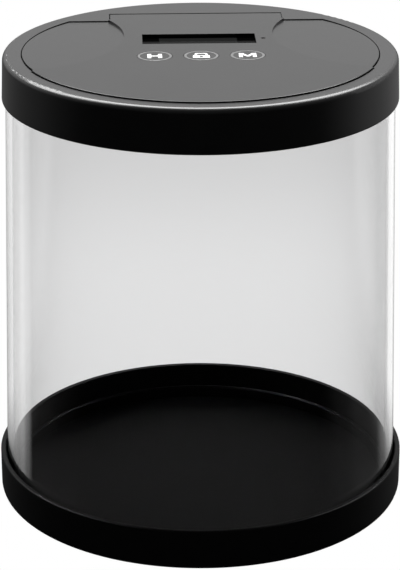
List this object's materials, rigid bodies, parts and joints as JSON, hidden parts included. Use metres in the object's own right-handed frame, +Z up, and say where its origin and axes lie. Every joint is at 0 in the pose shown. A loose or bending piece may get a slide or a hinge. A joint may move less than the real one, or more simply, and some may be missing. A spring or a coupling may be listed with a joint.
{
  "type": "timed lock container",
  "caption": "Cylindrical clear container with a black tray, a lid ring and a hinged flap whose timer keeps it bolted shut.",
  "frame": {"origin": "centre of the footprint, on the surface that the container stands on", "axes": "+Z up along the cylinder, -Y towards the front, +X to the right seen from the front"},
  "size_m": [0.151, 0.151, 0.169],
  "materials": {
    "tray_plastic": "satin moulded black",
    "foot_rubber": "soft black rubber",
    "clear_plastic": "polished clear plastic",
    "ring_plastic": "satin moulded black",
    "neck_plastic": "satin moulded black",
    "screw_steel": "zinc plated",
    "pin_steel": "drawn steel",
    "bumper_silicone": "soft grey silicone",
    "cover_plastic": "fine textured dark grey",
    "tub_plastic": "fine textured black",
    "window_plastic": "smoked clear plastic",
    "display_glass": "polished glass",
    "holder_plastic": "moulded black",
    "board_laminate": "solder mask",
    "chip_epoxy": "moulded epoxy",
    "switch_plastic": "moulded nylon",
    "buzzer_plastic": "moulded black",
    "lamp_plastic": "tinted clear epoxy",
    "motor_steel": "drawn steel can",
    "gearbox_brass": "machined brass",
    "guide_plastic": "moulded acetal",
    "cell_wrap": "printed sleeve",
    "contact_steel": "nickel plated",
    "spring_steel": "nickel plated",
    "lead_insulation": "soft insulation",
    "key_plastic": "fine textured dark grey",
    "bolt_plastic": "moulded acetal",
    "pinion_brass": "cut brass",
    "shaft_steel": "ground steel",
    "door_plastic": "fine textured black"
  },
  "bodies": {
    "container": {"base_tray": "tray_plastic", "rubber_feet": "foot_rubber", "clear_wall": "clear_plastic", "lid_ring": "ring_plastic", "neck_ring": "neck_plastic", "ring_screws": "screw_steel", "hinge_pin": "pin_steel", "rest_bumpers": "bumper_silicone"},
    "flap": {"battery_cells": "cell_wrap", "battery_contacts": "contact_steel", "battery_leads": "lead_insulation", "battery_springs": "spring_steel", "board_chips": "chip_epoxy", "board_screws": "screw_steel", "bolt_guide": "guide_plastic", "buzzer": "buzzer_plastic", "control_board": "board_laminate", "flap_cover": "cover_plastic", "flap_screws": "screw_steel", "flap_tub": "tub_plastic", "guide_screws": "screw_steel", "indicator_led": "lamp_plastic", "lcd_holder": "holder_plastic", "lcd_panel": "display_glass", "lcd_window": "window_plastic", "motor_can": "motor_steel", "motor_gearbox": "gearbox_brass", "motor_leads": "lead_insulation", "tact_switches": "switch_plastic"},
    "key_hours": {"key_hours": "key_plastic"},
    "key_lock": {"key_lock": "key_plastic"},
    "key_minutes": {"key_minutes": "key_plastic"},
    "bolt": {"latch_bolt": "bolt_plastic"},
    "pinion": {"drive_pinion": "pinion_brass", "motor_shaft": "shaft_steel"},
    "door": {"battery_door": "door_plastic"}
  },
  "joints": [
    {"name": "flap_hinge", "type": "hinge", "parent": "container", "child": "flap", "pos_m": [0, 0.0496, 0.1659], "axis": [-1, 0, 0], "range_deg": [0, 94]},
    {"name": "key_hours_press", "type": "slide", "parent": "flap", "child": "key_hours", "axis": [0, 0, -1], "range_m": [0, 0.0005], "stiffness_N_per_m": 500, "springref_m": -0.001},
    {"name": "key_lock_press", "type": "slide", "parent": "flap", "child": "key_lock", "axis": [0, 0, -1], "range_m": [0, 0.0005], "stiffness_N_per_m": 500, "springref_m": -0.001},
    {"name": "key_minutes_press", "type": "slide", "parent": "flap", "child": "key_minutes", "axis": [0, 0, -1], "range_m": [0, 0.0005], "stiffness_N_per_m": 500, "springref_m": -0.001},
    {"name": "bolt_slide", "type": "slide", "parent": "flap", "child": "bolt", "axis": [0, -1, 0], "range_m": [0, 0.005]},
    {"name": "pinion_spin", "type": "hinge", "parent": "flap", "child": "pinion", "pos_m": [0, -0.043, 0.16135], "axis": [-1, 0, 0], "range_deg": [0, 96]},
    {"name": "door_hinge", "type": "hinge", "parent": "flap", "child": "door", "pos_m": [-0.02939, 0, 0.1525], "axis": [0, -1, 0], "range_deg": [0, 95]}
  ],
  "couplings": [
    {"joint": "pinion_spin", "follows": "bolt_slide", "rad_per_m": 333.33}
  ]
}
